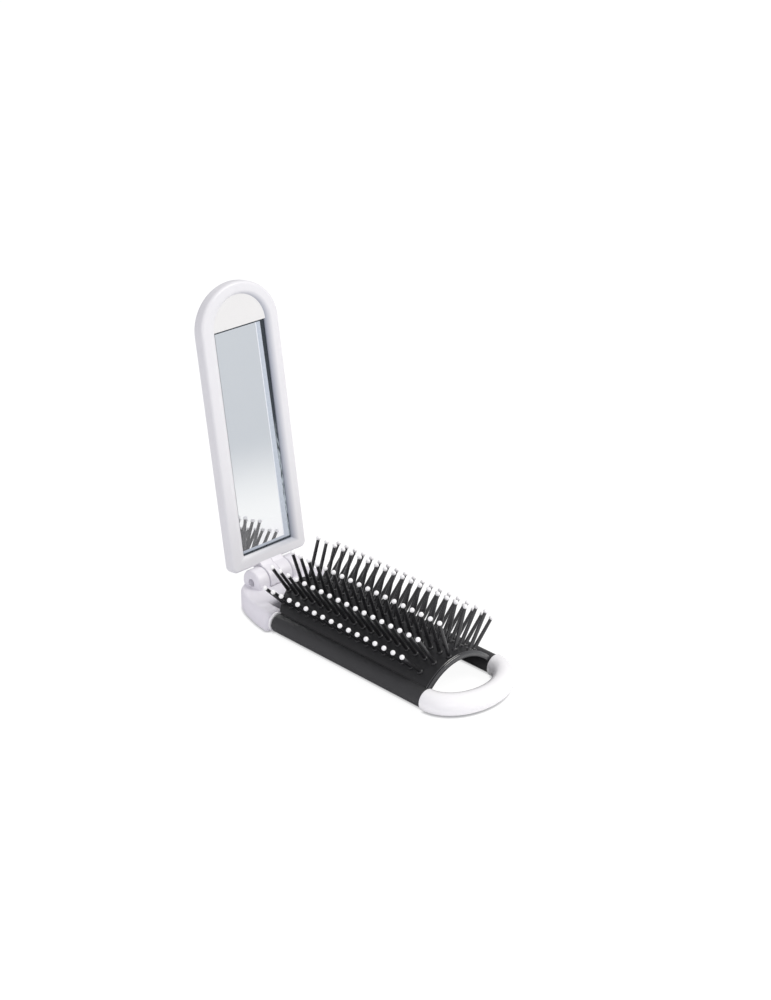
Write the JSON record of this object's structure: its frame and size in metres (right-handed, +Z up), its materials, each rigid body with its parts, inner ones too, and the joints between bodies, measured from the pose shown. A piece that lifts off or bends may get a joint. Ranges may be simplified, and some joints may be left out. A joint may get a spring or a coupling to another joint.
{
  "type": "pocket mirror brush",
  "caption": "Folding pocket hair brush: a mirror lid hinged to a looped frame, with ball-tipped pins on a rubber pad that snaps up when the lid opens.",
  "frame": {"origin": "middle of the hinge yoke's underside, straight below the hinge pin", "axes": "+X from the hinge to the end loop, +Y across, +Z up out of the pad, with the lid standing open"},
  "size_m": [0.1324, 0.0426, 0.118],
  "materials": {
    "white_gloss": "glossy, faint lavender white",
    "white_satin": "satin, faint lavender white",
    "sleeve_rubber": "satin charcoal",
    "pad_rubber": "matt black",
    "pin_steel": "plain",
    "mirror": "silvered glass",
    "foam_tape": "matt foam"
  },
  "bodies": {
    "frame": {"bow": "white_gloss", "yoke": "white_satin", "front_collar": "white_gloss", "rear_collar": "white_gloss", "hinge_pin": "pin_steel"},
    "lid": {"lid_shell": "white_gloss", "lid_panel": "white_satin", "mirror_glass": "mirror", "mirror_tape": "foam_tape"},
    "front_grip": {"front_sleeve": "sleeve_rubber"},
    "rear_grip": {"rear_sleeve": "sleeve_rubber"},
    "row_1": {"pad_row_1": "pad_rubber"},
    "row_2": {"pad_row_2": "pad_rubber"},
    "row_3": {"pad_row_3": "pad_rubber"},
    "row_4": {"pad_row_4": "pad_rubber"},
    "row_5": {"pad_row_5": "pad_rubber"},
    "row_6": {"pad_row_6": "pad_rubber"}
  },
  "joints": [
    {"name": "lid_close", "type": "hinge", "parent": "frame", "child": "lid", "pos_m": [0, 0, 0.0098], "axis": [0, -1, 0], "range_deg": [-98.2, 0]},
    {"name": "front_sleeve_turn", "type": "hinge", "parent": "frame", "child": "front_grip", "pos_m": [0.021, -0.0165, 0.0039], "axis": [1, 0, 0], "range_deg": [-90, 0]},
    {"name": "rear_sleeve_turn", "type": "hinge", "parent": "frame", "child": "rear_grip", "pos_m": [0.021, 0.0165, 0.0039], "axis": [1, 0, 0], "range_deg": [0, 90]},
    {"name": "row_1_swing", "type": "hinge", "parent": "frame", "child": "row_1", "pos_m": [0.0145, -0.01966, 0.0039], "axis": [1, 0, 0], "range_deg": [-70, 0]},
    {"name": "row_2_swing", "type": "hinge", "parent": "frame", "child": "row_2", "pos_m": [0.0145, -0.02854, 0.0039], "axis": [1, 0, 0], "range_deg": [-41.3, 0]},
    {"name": "row_3_swing", "type": "hinge", "parent": "frame", "child": "row_3", "pos_m": [0.0145, -0.08688, 0.0039], "axis": [1, 0, 0], "range_deg": [-12.5, 0]},
    {"name": "row_4_swing", "type": "hinge", "parent": "frame", "child": "row_4", "pos_m": [0.0145, 0.08688, 0.0039], "axis": [1, 0, 0], "range_deg": [0, 12.5]},
    {"name": "row_5_swing", "type": "hinge", "parent": "frame", "child": "row_5", "pos_m": [0.0145, 0.02854, 0.0039], "axis": [1, 0, 0], "range_deg": [0, 41.3]},
    {"name": "row_6_swing", "type": "hinge", "parent": "frame", "child": "row_6", "pos_m": [0.0145, 0.01966, 0.0039], "axis": [1, 0, 0], "range_deg": [0, 70]}
  ],
  "couplings": [
    {"joint": "front_sleeve_turn", "follows": "lid_close", "ratio": 0.9165},
    {"joint": "rear_sleeve_turn", "follows": "lid_close", "ratio": -0.9165},
    {"joint": "row_1_swing", "follows": "lid_close", "ratio": 0.71283},
    {"joint": "row_2_swing", "follows": "lid_close", "ratio": 0.42057},
    {"joint": "row_3_swing", "follows": "lid_close", "ratio": 0.12729},
    {"joint": "row_4_swing", "follows": "lid_close", "ratio": -0.12729},
    {"joint": "row_5_swing", "follows": "lid_close", "ratio": -0.42057},
    {"joint": "row_6_swing", "follows": "lid_close", "ratio": -0.71283}
  ]
}
